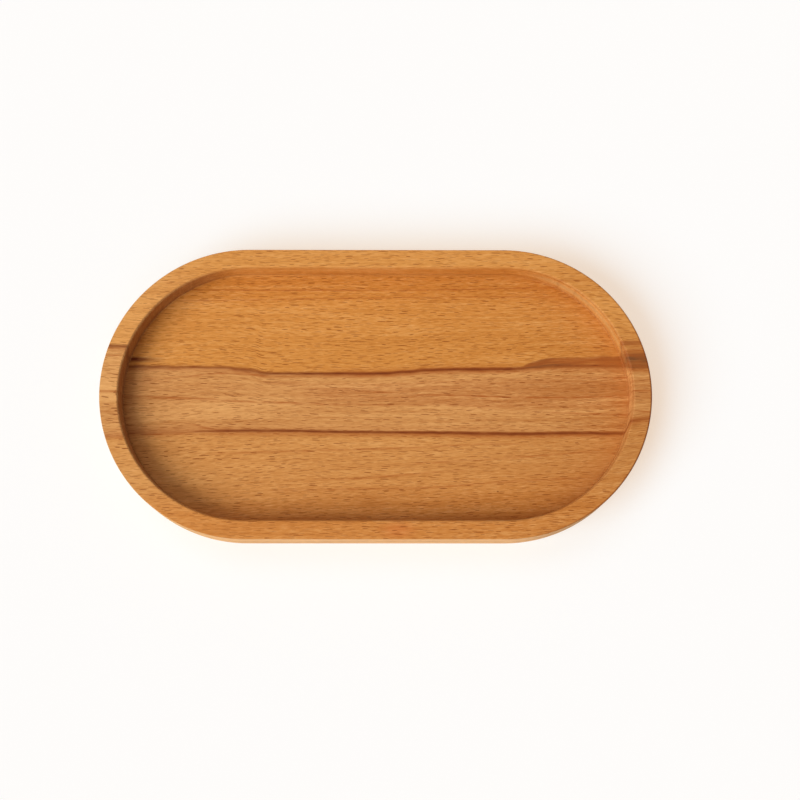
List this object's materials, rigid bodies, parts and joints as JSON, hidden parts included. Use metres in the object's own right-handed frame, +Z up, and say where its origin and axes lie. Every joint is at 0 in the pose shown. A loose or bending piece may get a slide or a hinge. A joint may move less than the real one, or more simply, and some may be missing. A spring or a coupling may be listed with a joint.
{
  "type": "oval wooden tray",
  "caption": "Shallow solid-wood tray with straight long sides and half-round ends, a flat milled pocket and a rim with rounded edges.",
  "frame": {"origin": "middle of the underside, on the surface that the tray stands on", "axes": "+X along the tray's length and its grain, +Y towards the back long side, +Z up out of the pocket"},
  "size_m": [0.3, 0.16, 0.023],
  "materials": {
    "oiled_beech": "beech, sanded smooth and oiled to a satin sheen, with fine dark flecks and brown heartwood lines along the tray"
  },
  "bodies": {
    "root": {"back_stave": "oiled_beech", "middle_stave": "oiled_beech", "front_stave": "oiled_beech"}
  },
  "joints": []
}
